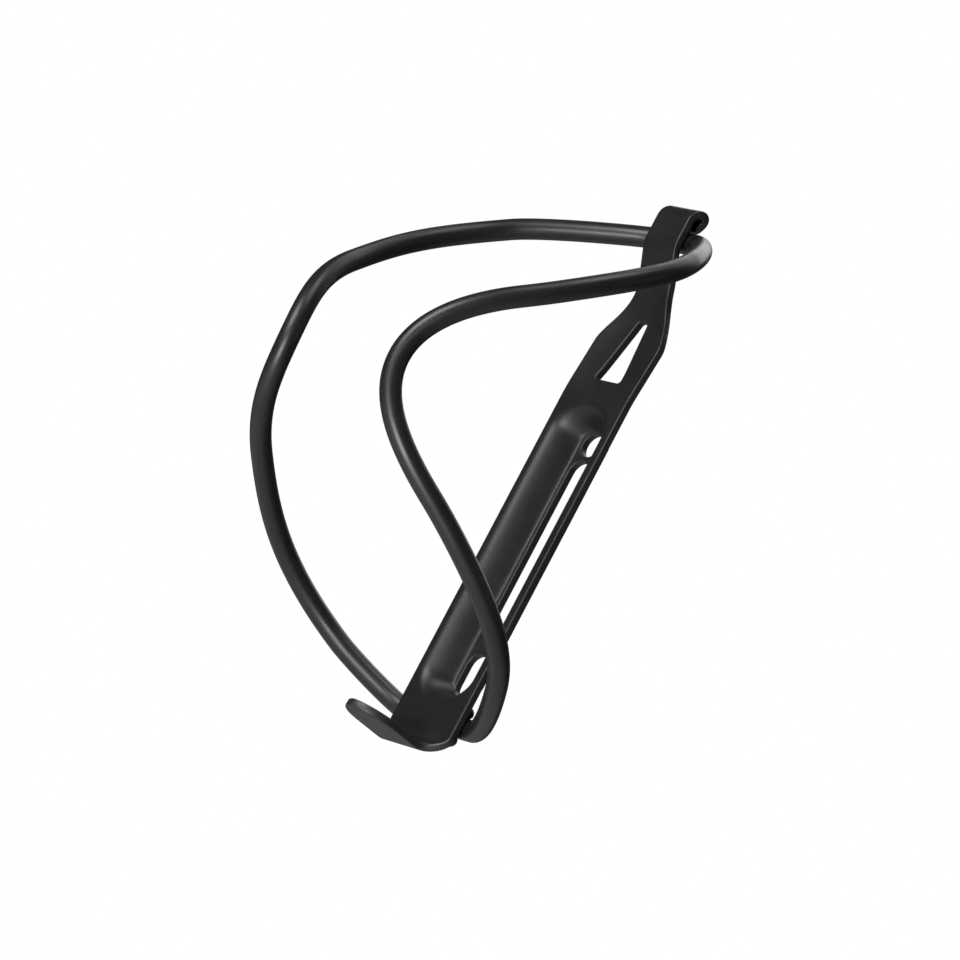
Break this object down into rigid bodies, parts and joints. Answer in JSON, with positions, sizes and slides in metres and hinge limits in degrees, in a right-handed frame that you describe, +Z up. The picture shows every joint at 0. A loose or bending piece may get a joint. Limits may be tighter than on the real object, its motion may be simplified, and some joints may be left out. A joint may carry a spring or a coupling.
{
  "type": "bottle_cage",
  "caption": "Wire bottle cage: a bent rod wraps both sides of a bottle and is welded to a pressed back plate with slotted bolt holes, a foot to stand on and a curled top tongue",
  "frame": {"origin": "on the plate's mounting face, the flat back of its channel floor, on the bridge of metal between the two bolt slots", "axes": "+X to the right across the plate, seen from the bottle's side; +Y away from the bottle, into the tube that the cage is bolted to; +Z up along the plate, from the foot to the curled tongue"},
  "size_m": [0.0862, 0.0834, 0.1501],
  "materials": {
    "black_plate": "satin",
    "black_rod": "satin",
    "black_weld": "satin"
  },
  "bodies": {
    "root": {"back_plate": "black_plate", "cage_rod": "black_rod", "top_weld": "black_weld", "lower_weld_above": "black_weld", "lower_weld_below": "black_weld"}
  },
  "joints": []
}
